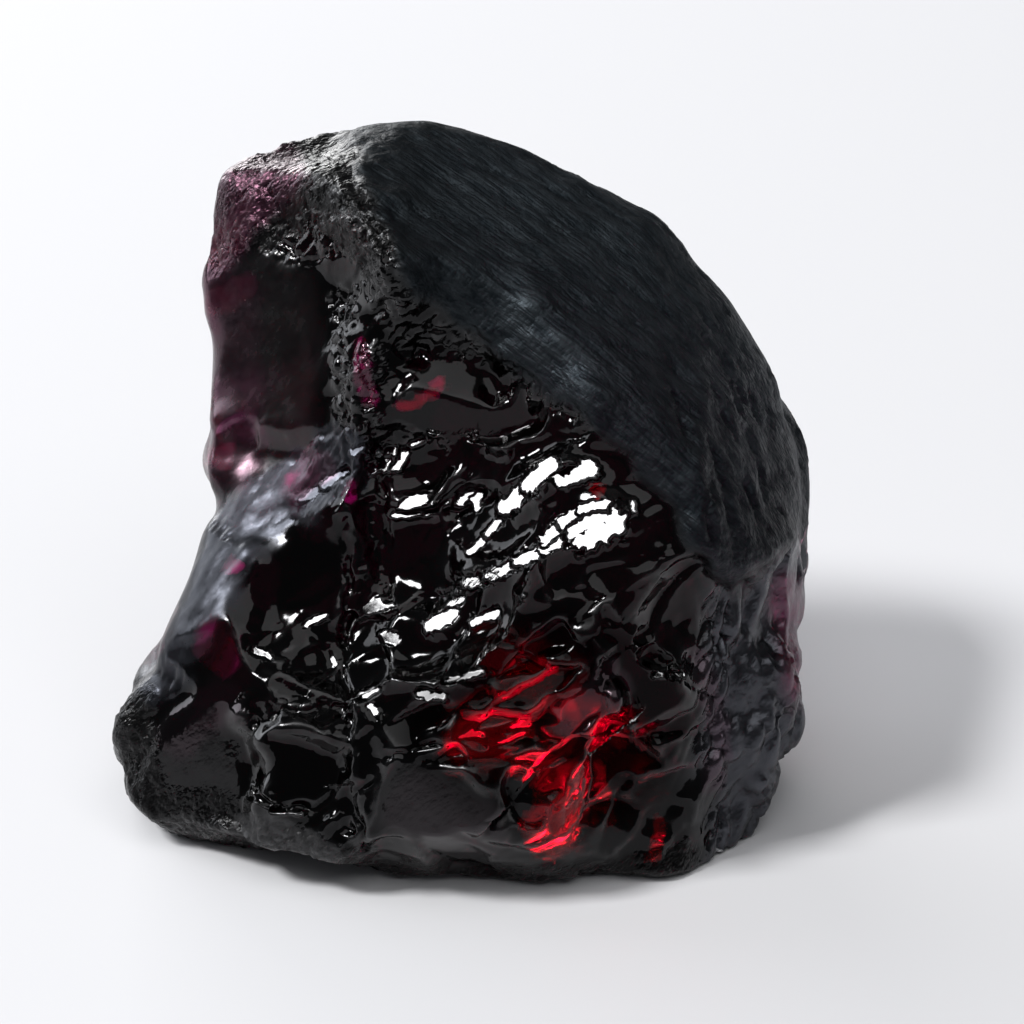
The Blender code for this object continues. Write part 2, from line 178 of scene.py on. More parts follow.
# Flat shards: where, how many, their common slope on the front, lean, step and width of the step in mm.
SHARDS = (
    ("broken", 200, (0.0, 0.0), 0.08, 0.04, 0.20),
    ("shards", 26, (0.10, -0.26), 0.20, 0.05, 0.08),
)
# How drawn out they are and which way, and how deep and how high they may go in mm.
SHARD_STRETCH = 1.7
SHARD_RUN = (0.87, 0.50)
SHARD_DEEPEST, SHARD_HIGHEST = -0.4, 0.25
# The middle and half size of the window's own stretch, and where the flank starts across the front.
SHARDS_MIDDLE, SHARDS_HALF = (3.0, -8.4), (6.0, 4.6)
FLANK_LEFT = 9.4
# How soft that start is to either side, and over what length it sways, in mm.
FLANK_SOFT, FLANK_WAVE = 1.0, 2.0

# Larger flat facets: line on the front, half width, and the way it faces.
FACETS = (
    (((-13.2, -7.2), (-11.0, -6.4)), 1.7, (-0.50, -0.75, 0.43)),
    (((-12.4, -9.4), (-11.2, -10.6)), 2.2, (-0.40, -0.86, 0.30)),
    (((-2.6, 4.2), (0.9, 4.5)), 1.2, (-0.02, -0.985, 0.17)),
    (((-9.0, -10.0), (-6.8, -10.4)), 1.2, (0.0, -0.90, 0.43)),
    (((1.8, -10.8), (2.2, -11.8)), 0.6, (-0.20, -0.96, 0.18)),
    (((3.4, -8.0), (4.4, -7.2)), 0.8, (0.0, -0.985, 0.17)),
    (((5.8, -9.6), (6.2, -11.0)), 1.1, (0.15, -0.88, 0.44)),
    (((-0.4, -8.9), (1.0, -8.5)), 0.9, (0.10, -0.86, 0.50)),
    (((-2.6, -11.4), (-0.4, -12.6)), 1.6, (-0.20, -0.935, 0.275)),
    (((6.8, -5.0), (7.2, -7.6)), 1.1, (0.10, -0.985, 0.14)),
)
# How much of a stretch stays below its facet's plane, in percent.
FACET_DEPTH = 35

# Treads: flat steps that face nearly the same way, so they catch the light together. The way they
# face, how far each strays from it, and how far round them in mm the skin is laid out finer.
TREAD_FACING = (-0.34, -0.61, 0.72)
TREAD_STRAY = 0.014
TREAD_MARGIN = 0.2
# A tread is cut in pieces about this long in mm, or this many half heights where that is longer.
TREAD_PIECE, TREAD_PIECE_HEIGHTS = 1.1, 4.5
# Each tread is a line on the front and its half height.
TREADS = (
    (((-5.2, 2.8), (-4.8, 3.0)), 0.16), (((-4.2, 2.7), (-3.5, 2.8)), 0.28),
    (((-4.4, 2.2), (-3.8, 2.3)), 0.30), (((-3.3, 2.2), (-3.0, 2.9)), 0.22),
    (((-2.8, 3.1), (-2.3, 3.3)), 0.16), (((-3.1, 0.6), (-2.3, 0.9)), 0.27),
    (((-3.5, 0.2), (-2.6, 0.2), (-1.6, 0.4), (-0.9, 0.8)), 0.15),
    (((-0.7, 0.7), (-0.3, 1.1)), 0.26), (((-0.1, 0.6), (0.1, 1.2)), 0.22),
    (((-0.3, -1.3), (0.3, -0.7), (1.0, 0.2)), 0.17),
    (((1.1, 0.5), (2.0, 1.4), (3.0, 2.3)), 0.34), (((3.5, 1.7), (4.6, 2.1)), 0.36),
    (((-0.6, -2.6), (0.1, -2.6), (1.0, -2.0), (1.7, -1.6), (2.6, -1.2), (3.8, -0.7)), 0.24),
    (((4.3, -0.6), (5.4, 0.0)), 0.68),
    (((2.7, -0.8), (3.5, 0.0), (4.4, 0.6), (5.2, 0.7)), 0.22),
    (((-2.0, -4.4), (-1.5, -4.1), (-1.0, -3.8)), 0.27), (((-1.1, -3.4), (-0.7, -3.2)), 0.18),
    (((-4.6, -3.7), (-4.2, -3.5), (-3.7, -3.3)), 0.27), (((-5.5, -4.8), (-5.3, -4.3), (-5.2, -4.0)), 0.18),
    (((-3.9, -4.8), (-3.4, -4.9)), 0.27), (((-7.1, -4.3), (-6.4, -4.0)), 0.16),
    (((-0.2, -4.2), (0.3, -4.1), (0.7, -3.8)), 0.23),
    (((-1.3, -6.5), (-0.5, -6.3), (0.2, -6.1)), 0.16), (((-2.3, -7.0), (-1.4, -7.1)), 0.22),
    (((-4.8, -7.2), (-4.2, -6.9)), 0.18), (((-4.4, -7.6), (-4.1, -7.8)), 0.16),
    (((-8.5, -0.4), (-7.8, 0.0)), 0.16), (((-7.5, 0.8), (-6.5, 1.4), (-5.5, 2.1)), 0.18),
    (((-9.3, -11.2), (-8.4, -11.9), (-7.2, -12.0)), 0.15),
    (((7.2, -6.3), (7.6, -6.3)), 0.17), (((7.8, -6.3), (8.4, -6.3)), 0.16),
    (((6.3, 0.8), (6.4, 0.4)), 0.16), (((-9.3, -5.4), (-8.6, -5.6)), 0.16),
)

# Cracks in the front: lines, each with its half width and depth in mm.
CRACKS = (
    (((-4.3, 3.9), (-4.2, 2.1), (-3.8, -0.8), (-3.7, -3.3)), 0.22, 0.30),
    (((-5.5, 0.0), (-5.3, -2.5), (-5.6, -5.0), (-5.4, -7.4), (-5.4, -9.7), (-5.4, -12.7)), 0.24, 0.40),
    (((-10.1, -9.3), (-8.9, -8.3), (-7.3, -7.8), (-5.4, -7.6)), 0.22, 0.30),
    (((-9.7, -9.9), (-9.4, -11.1), (-8.3, -11.7), (-6.9, -11.8), (-5.9, -11.2)), 0.25, 0.30),
    (((-4.6, -13.5), (-5.2, -11.4), (-4.0, -9.7), (-1.9, -9.1), (0.1, -8.9)), 0.25, 0.25),
)
# Cracks close and open along their line: how much of the depth, and over what length in mm.
CRACK_GAPS, CRACK_GAP_WAVE = 1.2, 1.1

# The worn crown: slow swells, and gouges: where, how many, their run on the front, length from
# and to, half width and depth. Sizes in mm.
SWELLS = ((2.6, 0.09), (1.1, 0.035))
GOUGES = (
    ("worn", 170, (0.80, -0.60), 0.5, 1.7, 0.22, 0.10),
    ("scarps", 34, (0.10, -1.00), 0.9, 2.4, 0.24, 0.16),
)
# The middle and half size of the scarps' stretch, and how deep all this may go in mm.
SCARPS_MIDDLE, SCARPS_HALF = (9.9, 2.6), (2.2, 4.4)
WEAR_DEEPEST = -0.3
# Skin lower than this lies on the seat, in mm.
SEAT_LIP = 0.06

# Where the broken skin is hazy: lines on the front, half width, and how much, 0 to 1.
HAZE = (
    (((-9.6, 8.8), (-9.8, 5.0), (-9.6, 2.6)), 3.0, 0.24),
    (((-13.9, -7.1), (-12.5, -4.2), (-11.0, -1.7), (-9.8, 0.0), (-7.5, 1.3), (-5.7, 2.7)), 1.0, 0.15),
    (((-12.4, -9.0), (-11.4, -12.0)), 2.0, 0.05), (((-3.0, -11.0), (-1.2, -12.0)), 1.6, 0.10),
    (((-14.6, -8.4), (-13.8, -11.0), (-11.6, -13.4)), 0.8, 0.09),
    (((-9.4, -12.9), (-6.6, -13.8)), 0.9, 0.5),
    (((1.8, -10.8), (2.2, -11.8)), 0.6, 0.10), (((3.4, -8.0), (4.4, -7.2)), 0.7, 0.10),
)
# Painted glow: where what the skin mirrors is tinted rosy, standing in for red light through thin edges.
# Likewise, lines on the front, half width, and how much.
PAINTED_ROSY_GLOW = (
    (((-12.4, 8.4), (-12.0, 11.0), (-10.8, 13.0), (-8.8, 14.8)), 1.5, 0.9),
    (((-10.8, 9.4), (-10.6, 2.8)), 1.5, 0.6),
    (((-4.9, 7.2), (-4.6, 5.2)), 0.4, 0.7), (((13.0, -2.8), (13.6, -7.4)), 0.9, 0.4),
    (((9.0, -5.6), (10.2, -8.8), (9.8, -11.0)), 0.5, 0.35), (((-7.6, 1.4), (-6.4, 2.4)), 0.6, 0.5),
    (((-12.6, -9.0), (-10.6, -7.4)), 0.9, 0.3), (((4.0, -8.0), (5.4, -6.6)), 0.9, 0.4),
    (((-2.2, -11.8), (-0.2, -12.8)), 1.6, 0.15),
)
# Painted glow: where the dark skin is made clearer and violet, so light from behind shows at thin edges:
# lines on the front, half width, and how clear, 0 to 1.
PAINTED_VIOLET_GLOW = (
    (((-12.6, 7.6), (-12.2, 10.6), (-10.8, 13.2), (-8.4, 14.2)), 1.3, 0.06),
    (((-9.8, 8.8), (-9.8, 2.8)), 2.8, 0.004), (((-7.4, 12.2), (-5.6, 11.4)), 1.0, 0.01),
    (((-11.4, 9.2), (-10.7, 9.4), (-10.1, 10.0)), 0.55, 1.0), (((-11.2, 11.6), (-9.8, 13.0)), 0.7, 0.7),
    (((-11.8, 2.6), (-10.9, 2.8)), 0.4, 0.35), (((-12.0, 7.0), (-12.0, 3.6)), 1.0, 0.05),
    (((-3.1, 4.7), (-2.3, 5.1), (-1.5, 5.5)), 0.20, 0.5), (((-4.9, 7.2), (-4.6, 5.2)), 0.30, 0.03),
    (((13.2, -3.2), (13.8, -6.6)), 0.8, 0.015), (((-13.4, -3.6), (-14.2, -5.6)), 0.6, 0.25),
    (((-5.2, 1.6), (-5.5, 1.0)), 0.20, 0.03), (((-10.4, -1.9), (-10.1, -1.7)), 0.25, 0.4),
    (((-11.0, -4.8), (-10.7, -5.6)), 0.8, 0.03), (((-7.9, 1.7), (-7.8, 1.9)), 0.2, 0.3),
)
# Painted glow: where the dark skin is made clear, so the light of the other side shows through: lines on
# the front, half width, and how clear.
PAINTED_GLOW_WINDOW = (
    (((3.4, -10.6), (3.2, -12.0), (3.0, -12.9)), 0.95, 1.0), (((-0.4, -8.9), (1.3, -8.6)), 0.8, 0.8),
    (((0.2, -9.7), (1.4, -9.4)), 0.4, 0.3), (((1.9, -10.0), (2.4, -9.5)), 0.45, 0.9),
    (((2.2, -7.2), (2.7, -6.1)), 0.5, 0.10), (((1.3, -6.8), (1.8, -6.0)), 0.4, 0.10),
    (((3.3, -9.0), (3.6, -7.8)), 0.5, 0.15), (((4.9, -8.4), (5.7, -8.6)), 0.5, 0.10),
    (((5.1, -10.4), (5.2, -11.2)), 0.25, 0.6), (((7.4, -12.8), (7.2, -14.0)), 0.25, 0.9),
    (((4.8, 1.1), (5.2, 1.3)), 0.16, 0.15), (((-3.1, 4.7), (-2.3, 5.1), (-1.5, 5.5)), 0.17, 0.6),
    (((0.0, -8.8), (2.6, -7.8), (4.2, -8.6)), 1.5, 0.010), (((3.7, -9.6), (3.6, -12.6)), 1.2, 0.010),
    (((0.6, -5.2), (3.4, -6.2)), 1.0, 0.0008), (((5.8, -9.2), (6.2, -11.6)), 1.4, 0.0008),
)
# Behind, the skin is clear from this far back and up to this height, in mm.
BACK_START, BACK_CLEAR_TOP = 1.0, 16.0
# Both edges are this soft to either side, and the upper one sways: how far and over what length.
BACK_START_SOFT, BACK_TOP_SOFT = 1.5, 2.0
BACK_TOP_SWAY = (2.0, 3.0)
# How much of the clearness the flank takes away, and how dull the clear back is.
BACK_FLANK, BACK_ROUGH = 0.7, 0.30
# Over what length in mm the skin's smears, clouds and patches on its ridges change.
SMEAR_WAVE, CLOUD_WAVE, RIDGE_WAVE = 0.9, 2.0, 1.2
# How much of a ridge's and of the haze's dullness is always there, and how much comes and goes.
RIDGE_PATCHES, HAZE_PATCHES = (0.6, 0.8), (0.7, 0.6)
# How dull each kind of skin is, how deep its fine relief is, and how much it mirrors.
CLEAN_ROUGH, SMEARED_ROUGH = 0.03, 0.09
GRAINY_HAZE, FROSTED_HAZE, FLANK_HAZE, RIDGE_HAZE = 0.08, 0.30, 0.36, 0.34
SLOPE_ROUGH = 0.34
WORN_ROUGH, WORN_SMEARED_ROUGH = 0.44, 0.22
CLEAN_BITE, HAZE_BITE, GRAINY_BITE = 0.01, 0.16, 0.25
FROSTED_BITE, FLANK_BITE, WORN_BITE = 0.9, 0.25, 0.38
CLEAN_GLOSS, BRUSHED_GLOSS, SLOPE_GLOSS, FROSTED_GLOSS = 0.20, 0.9, 0.08, -0.10
# The window's gloss dims what it mirrors, so its painted glow shows clean; the rosy gloss lifts the
# painted rosy glow.
FLANK_GLOSS, RIDGE_GLOSS, WINDOW_GLOSS, PAINTED_ROSY_GLOSS = 0.5, 0.3, -0.14, 0.45
# Painted shade: the worn skin mirrors less near its edge, where the lights catch it, and fully this far
# in, in mm.
WORN_EDGE_SHADE_GLOSS, WORN_GLOSS_REACH = 0.5, 7.0
# How the skin tints what passes: broken skin near black and cloudy, as painted shade; worn skin near
# black, partly its frosting and partly painted shade; then the painted glow of thin edges and of the
# window.
PAINTED_SHADE_SKIN = (0.000001, 0.000001, 0.000001)
PAINTED_CLOUDY_SHADE_SKIN = (0.00002, 0.000001, 0.000006)
WORN_FROST_AND_SHADE_SKIN = (0.00001, 0.00001, 0.00002)
PAINTED_VIOLET_TINT = (1.0, 0.80, 0.65)
PAINTED_GLOW_SKIN = (1.0, 0.01, 0.004)
# How it tints what it mirrors: plain, a painted cool reflection and a painted rosy glow; how much of the
# painted cool the flank takes beside the slope; and the worn skin's slates.
PLAIN_SHEEN = (0.98, 0.98, 1.0)
PAINTED_COOL_HUE = (0.78, 0.83, 1.0)
PAINTED_ROSY_HUE = (1.0, 0.42, 0.66)
FLANK_PAINTED_COOL_SHARE = 0.7
SLATE_DARK, SLATE_PALE = (0.22, 0.29, 0.35, 1.0), (0.46, 0.56, 0.64, 1.0)
UNTINTED = (1.0, 1.0, 1.0, 1.0)

# The crystal: its index, and how strongly and towards which colour it absorbs inside.
CRYSTAL_INDEX = 1.8
ABSORB_DENSITY, ABSORB_COLOUR = 400.0, (0.985, 0.0, 0.84, 1.0)
# Its finest relief: depth in metres, the way it runs, and its sizes in mm along the run and across.
RELIEF_DEPTH = 0.00016
CROWN_SCRATCH = (0.80, -0.47, -0.43)
SLOPE_BRUSH = (0.67, 0.18, 0.74)
SCRATCH_SIZES, CHATTER_SIZES, GRAIN_SIZES = (2.0, 0.15, 0.15), (1.3, 0.45, 0.45), (0.45, 0.25, 0.25)
# How much deeper the chatter is than the scratches, how scuffs spread from dark to pale slate, and
# how the grain spreads the dullness.
CHATTER_RELIEF = 1.6
SCUFF_SPREAD, DULL_SPREAD = (-1.2, 6.0), (0.6, 1.4)

# The card under the stone: its size and how far it lies below the seat in metres, colour and dullness.
CARD_SIZE, CARD_DROP = 3.0, 0.00005
CARD_COLOUR, CARD_ROUGH = (0.64, 0.64, 0.656, 1.0), 0.9
# The soft lights: name, place and size in metres, power in watts and colour. All face one point.
LIT_POINT = (0.0, 0.0, 0.012)
SOFTBOXES = (
    ("overhead", (-0.60, -0.18, 0.82), (0.20, 0.20), 9.8, (1.0, 1.0, 1.0)),
    ("window", (-0.84, 0.53, 0.42), (0.86, 0.60), 5.6, (0.92, 0.95, 1.0)),
    ("panel", (-0.20, 0.44, 0.12), (0.28, 0.16), 1.3, (1.0, 1.0, 1.0)),
    ("fill", (0.12, -0.34, 0.93), (0.90, 0.90), 4.0, (1.0, 1.0, 1.0)),
)
ROOM_COLOUR, ROOM_STRENGTH = (0.9, 0.93, 1.0, 1.0), 0.11

# The camera: where it looks in mm, its lens, and in metres how far off it stands and how it clips.
LOOK_AT = np.array((2.077, 2.117, 11.5))
LENS = 123.0
STAND_OFF = 0.1505
CLIP_NEAR, CLIP_FAR = 0.01, 10.0


# --- Small helpers ----------------------------------------------------------------------------


def unit(vector):
    """The vector at length 1."""
    vector = np.array(vector, float)
    return vector / np.linalg.norm(vector)


def smooth_step(low, high, value):
    """0 below low, 1 above high, and an easy curve between."""
    share = np.clip((value - low) / (high - low), 0.0, 1.0)
    return share * share * (3 - 2 * share)


def points_of(obj):
    """An object's vertices in mm."""
    flat = np.empty(len(obj.data.vertices) * 3, np.float32)
    obj.data.vertices.foreach_get("co", flat)
    return flat.reshape(-1, 3).astype(float) / MM


def normals_of(obj):
    """An object's vertex normals."""
    flat = np.empty(len(obj.data.vertices) * 3, np.float32)
    obj.data.vertex_normals.foreach_get("vector", flat)
    return flat.reshape(-1, 3).astype(float)


def edges_of(obj):
    """The vertices at the one end and at the other end of an object's edges, as indices."""
    flat = np.empty(len(obj.data.edges) * 2, np.int32)
    obj.data.edges.foreach_get("vertices", flat)
    return flat.reshape(-1, 2).T


def put_points(obj, points):
    """Moves an object's vertices to points in mm, never below the seat."""
    points = np.array(points)
    points[:, 2] = np.maximum(points[:, 2], 0.0)
    obj.data.vertices.foreach_set("co", (points * MM).astype(np.float32).ravel())
    obj.data.update()


def on_front(points):
    """Points as mm across and mm up the leaning front."""
    return np.stack([(points - MIDDLE) @ ACROSS, (points - MIDDLE) @ UP_LEAN], 1)


def run_on_front(run):
    """A run across and up the leaning front, as a direction of length 1."""
    return unit(run[0] * ACROSS + run[1] * UP_LEAN)


def uneven(points, wave):
    """A smooth uneven value at each point, about -1 to 1, changing over a wave's length in mm."""
    return np.array([noise.noise(Vector(point) / wave) for point in points])


def sway(points, reach, wave, shifts):
    """An uneven offset at each point, up to a reach in mm: one number for each shift."""
    return reach * np.stack([uneven(points + shift, wave) for shift in shifts], 1)


def fray(points, frays):
    """An uneven factor for widths at each point: 1, give or take each share over its wave in mm."""
    factor = np.ones(len(points))
    for share, wave in frays:
        factor = factor + share * uneven(points, wave)
    return factor


def soft_end(share, edge, end):
    """1 in the middle, easing over an edge to 0 at the end, all in half widths."""
    return smooth_step(0.0, edge, end - share)


def along_line(places, line):
    """For each place: how far it is from a line on the front, and on which side, 1 on the left."""
    line = np.array(line, float)
    nearest = np.full(len(places), np.inf)
    beside = np.zeros(len(places))
    for start, end in zip(line[:-1], line[1:]):
        run = end - start
        share = np.clip((places - start) @ run / (run @ run), 0.0, 1.0)
        off = places - start - share[:, None] * run
        distance = np.linalg.norm(off, axis=1)
        square_off = (run[0] * off[:, 1] - run[1] * off[:, 0]) / np.linalg.norm(run)
        # At a corner two runs are equally near, and the one that lies more squarely to it decides.
        tied = (np.abs(distance - nearest) < FAINT) & (np.abs(square_off) > np.abs(beside))
        nearer = (distance < nearest - FAINT) | tied
        nearest = np.where(nearer, distance, nearest)
        beside = np.where(nearer, square_off, beside)
    return nearest, np.where(beside < 0, -1.0, 1.0)


def deselect_all():
    """Nothing selected, object mode."""
    if bpy.context.mode != "OBJECT":
        bpy.ops.object.mode_set(mode="OBJECT")
    bpy.ops.object.select_all(action="DESELECT")


def pick(obj):
    """Makes one object the selected and active one."""
    deselect_all()
    obj.select_set(True)
    bpy.context.view_layer.objects.active = obj


def apply_modifier(obj, kind, **settings):
    """Adds a modifier to an object and applies it."""
    pick(obj)
    modifier = obj.modifiers.new(kind.lower(), kind)
    for name, value in settings.items():
        setattr(modifier, name, value)
    bpy.ops.object.modifier_apply(modifier=modifier.name)


# --- The stone --------------------------------------------------------------------------------


def stone_blank():
    """A copy of the solid, merged, laid out in even small faces and eased."""
    stone = bpy.data.objects.new("stone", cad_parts["rough_painite"].data.copy())
    bpy.context.scene.collection.objects.link(stone)
    stone.data.materials.clear()
    pick(stone)
    bpy.ops.object.mode_set(mode="EDIT")
    bpy.ops.mesh.select_all(action="SELECT")
    bpy.ops.mesh.remove_doubles(threshold=MERGE_GAP)
    bpy.ops.object.mode_set(mode="OBJECT")
    apply_modifier(stone, "REMESH", mode="VOXEL", voxel_size=SKIN_VOXEL * MM)
    apply_modifier(stone, "SMOOTH", factor=0.5, iterations=EASE_PASSES)
    return stone


def pull_edges(stone, pulls):
    """Pulls stretches of the outline, seen square to the front, into line."""
    points = points_of(stone)
    for centre, reach, (across, up_lean) in pulls:
        distance = np.linalg.norm(on_front(points) - centre, axis=1)
        share = smooth_step(0.0, 1.0, 1 - distance / reach)
        points = points + share[:, None] * (across * ACROSS + up_lean * UP_LEAN)
    put_points(stone, points)


def split_faces(stone, chosen):
    """Splits once more the faces whose corners are all chosen."""
    pick(stone)
    bpy.ops.object.mode_set(mode="EDIT")
    bpy.ops.mesh.select_mode(type="VERT")
    bpy.ops.mesh.select_all(action="DESELECT")
    bpy.ops.object.mode_set(mode="OBJECT")
    stone.data.vertices.foreach_set("select", chosen)
    bpy.ops.object.mode_set(mode="EDIT")
    bpy.ops.mesh.subdivide(number_cuts=1, smoothness=0.0)
    bpy.ops.object.mode_set(mode="OBJECT")


def refine_front(stone):
    """Lays the broken front out twice as fine, where the smallest steps go."""
    points, normals = points_of(stone), normals_of(stone)
    places = on_front(points)
    inside = (places[:, 0] > FINE_LEFT) & (places[:, 0] < FINE_RIGHT)
    inside &= (places[:, 1] > FINE_LOW) & (places[:, 1] < FINE_HIGH) & (normals @ OUTWARD > FINE_FROM)
    grainy = zone_share("grainy", points, normals) > FINE_GRAINY
    inside &= (worn_share(points, normals) < FINE_WORN) | grainy
    inside &= near_spots(places, SMOOTH) < FINE_SMOOTH
    split_faces(stone, inside)


def refine_treads(stone):
    """Lays the skin around the treads out finer still."""
    points, facing = points_of(stone), normals_of(stone) @ OUTWARD
    places = on_front(points)
    close = np.zeros(len(points), bool)
    for line, half_height in TREADS:
        distance, _ = along_line(places, line)
        close |= distance < half_height + TREAD_MARGIN
    split_faces(stone, close & (facing > FINER_FROM))


def worn_share(points, normals):
    """1 on the worn crown, 0 on the broken skin."""
    places = on_front(points) + sway(points, *WORN_SWAY)
    distance, side = along_line(places, WORN_EDGE)
    front = smooth_step(-WORN_EDGE_SOFT, WORN_EDGE_SOFT, distance * side)
    reach, wave = WORN_FOOT_SWAY
    above = points[:, 2] - WORN_FOOT + reach * uneven(points, wave)
    back = smooth_step(-WORN_FOOT_SOFT, WORN_FOOT_SOFT, above)
    return back + (front - back) * smooth_step(*CROWN_FRONT, normals @ OUTWARD)


def near_spots(places, spots):
    """1 in the middle of round spots on the front, 0 away from them."""
    share = np.zeros(len(places))
    for centre, radius in spots:
        distance = np.linalg.norm(places - centre, axis=1)
        share = np.maximum(share, smooth_step(0.0, SPOT_EDGE, 1 - distance / radius))
    return share


def near_lines(points, lines):
    """1 on lines on the front, 0 past about their half width."""
    places = on_front(points)
    frayed = fray(points, LINE_FRAY)
    share = np.zeros(len(points))
    for line, half_width in lines:
        distance, _ = along_line(places, line)
        share = np.maximum(share, smooth_step(-LINE_EDGE, LINE_EDGE, 1 - distance / half_width / frayed))
    return share


def zone_share(zone, points, normals):
    """How far each point is in a named zone of the skin, 0 to 1."""
    facing = normals @ OUTWARD
    front = smooth_step(*FULL_FRONT, facing)
    if zone == "frosted":
        return near_lines(points, FROSTED) * smooth_step(*FROST_FRONT, facing)
    lines = {"grainy": GRAINY, "slope": SLOPE}.get(zone)
    if lines:
        return near_lines(points, lines) * front
    broken = 1 - worn_share(points, normals)
    places = on_front(points)
    if zone == "worn":
        return 1 - broken
    if zone == "scarps":
        away = np.linalg.norm((places - SCARPS_MIDDLE) / SCARPS_HALF, axis=1)
        return (1 - broken) * front * (away < 1)
    if zone == "flank":
        past = places[:, 0] - FLANK_LEFT + uneven(points, FLANK_WAVE)
        return broken * smooth_step(-FLANK_SOFT, FLANK_SOFT, past)
    if zone == "shards":
        away = np.linalg.norm((places - SHARDS_MIDDLE) / SHARDS_HALF, axis=1)
        return broken * front * smooth_step(-STRETCH_EDGE, STRETCH_EDGE, 1 - away)
    return broken * (1 - SMOOTH_SHELTER * near_spots(places, SMOOTH) * smooth_step(*WIDE_FRONT, facing))


def scattered(random, points, weights, count):
    """Points drawn from the skin by weight."""
    return points[random.choice(len(points), count, replace=False, p=weights / weights.sum())]


def tree_of(points):
    """A tree that finds the nearest of some points."""
    tree = kdtree.KDTree(len(points))
    for index, point in enumerate(points):
        tree.insert(point, index)
    tree.balance()
    return tree


def two_nearest(points, seeds):
    """For each point, which two seeds lie nearest and how far off they are."""
    tree = tree_of(seeds)
    found = [tree.find_n(point, 2) for point in points]
    which = np.array([[hit[1] for hit in pair] for pair in found])
    away = np.array([[hit[2] for hit in pair] for pair in found])
    return which, away


def stretched(points, run, stretch):
    """Points squeezed along a run on the front, so that what is laid out on them comes out long."""
    run = run_on_front(run)
    return points + (1 / stretch - 1) * (points @ run)[:, None] * run


def strike_scars(stone, random):
    """Strikes overlapping shell-shaped scars."""
    for zone, count, least, most, depth in SCARS:
        points, normals = points_of(stone), normals_of(stone)
        share = zone_share(zone, points, normals)
        seeds = scattered(random, points, share + FAINT, count)
        sizes = random.uniform(least, most, count)
        tree = tree_of(points)
        deep = np.zeros(len(points))
        for seed, size in zip(seeds, sizes):
            found = tree.find_range(seed, size)
            at = np.fromiter((hit[1] for hit in found), int, len(found))
            off = np.fromiter((hit[2] for hit in found), float, len(found)) / size
            deep[at] = np.maximum(deep[at], size / most * (1 - off ** 2))
        put_points(stone, points - normals * (deep * depth * share)[:, None])


def ease_skin(stone, share, passes):
    """Evens the skin out over its neighbours, by a share for each point."""
    points = points_of(stone)
    one, other = edges_of(stone)
    count = np.bincount(np.concatenate([one, other]), minlength=len(points))
    for _ in range(passes):
        around = np.stack([
            np.bincount(one, points[other, axis], len(points))
            + np.bincount(other, points[one, axis], len(points)) for axis in range(3)
        ], 1)
        points = points + 0.5 * share[:, None] * (around / count[:, None] - points)
    put_points(stone, points)


def front_spots(stone, spots):
    """1 in round spots on the front of the stone, 0 elsewhere."""
    points, normals = points_of(stone), normals_of(stone)
    return near_spots(on_front(points), spots) * smooth_step(*WIDE_FRONT, normals @ OUTWARD)


def away_from_front(stone):
    """1 on skin that faces away from the front, 0 on the front."""
    return 1 - smooth_step(*CUT_FRONT, normals_of(stone) @ OUTWARD)


def raise_lumps(stone, random):
    """Raises rounded lumps packed side by side, with creases between them."""
    for zone, count, height, stretch, run in LUMPS:
        points, normals = points_of(stone), normals_of(stone)
        share = zone_share(zone, points, normals)
        seeds = scattered(random, points, share + FAINT, count)
        frayed = points + sway(points, *LUMP_SWAY)
        which, away = two_nearest(stretched(frayed, run, stretch), stretched(seeds, run, stretch))
        dome = 1 - (away[:, 0] / away[:, 1]) ** 2
        rise = height * random.uniform(LUMP_LEAST, 1.0, count)[which[:, 0]] * (dome - LUMP_SUNK)
        put_points(stone, points + normals * (rise * share)[:, None])


def break_shards(stone, random):
    """Breaks the skin into flat shards that lean every way, with small steps between them."""
    for zone, count, slope, lean, step, width in SHARDS:
        points, normals = points_of(stone), normals_of(stone)
        share = zone_share(zone, points, normals) * smooth_step(*SHARD_FRONT, abs(normals @ OUTWARD))
        seeds = scattered(random, points, share + FAINT, count)
        frayed = points + sway(points, *SHARD_SWAY)
        which, away = two_nearest(
            stretched(frayed, SHARD_RUN, SHARD_STRETCH), stretched(seeds, SHARD_RUN, SHARD_STRETCH)
        )
        leans = random.normal(0.0, lean, (count, 3)) + slope[0] * ACROSS + slope[1] * UP_LEAN
        steps = random.normal(0.0, step, count)
        nearer, further = (
            ((frayed - seeds[index]) * leans[index]).sum(1) + steps[index] for index in which.T
        )
        blend = 0.5 - 0.5 * smooth_step(0.0, width, away[:, 1] - away[:, 0])
        rise = (nearer + (further - nearer) * blend) * share
        put_points(stone, points + normals * np.clip(rise, SHARD_DEEPEST, SHARD_HIGHEST)[:, None])


def pieces_of(line, length):
    """A line on the front cut into straight pieces of about a length: their ends."""
    line = np.array(line, float)
    lengths = np.linalg.norm(line[1:] - line[:-1], axis=1)
    passed = np.concatenate([[0.0], np.cumsum(lengths)])
    count = max(1, round(passed[-1] / length))
    marks = np.linspace(0.0, passed[-1], count + 1)
    ends = np.stack([np.interp(marks, passed, line[:, axis]) for axis in (0, 1)], 1)
    return list(zip(ends[:-1], ends[1:]))


def cut_flat(points, facing, frayed, line, half_width, way):
    """Points with a stretch along a line on the front laid flat to face a way, with a riser round it."""
    places = on_front(points)
    distance, _ = along_line(places, line)
    share = distance / half_width * frayed
    members = (share < 1.0) & (facing > 0.0)
    if not members.any():
        return points
    slope = -np.array((way @ ACROSS, way @ UP_LEAN)) / (way @ OUTWARD)
    out = (points - MIDDLE) @ OUTWARD
    flat = out[members].mean() + (places - places[members].mean(0)) @ slope
    hold = soft_end(share, *TREAD_EDGE) * smooth_step(*CUT_FRONT, facing)
    return points + OUTWARD * ((flat - out) * hold)[:, None]


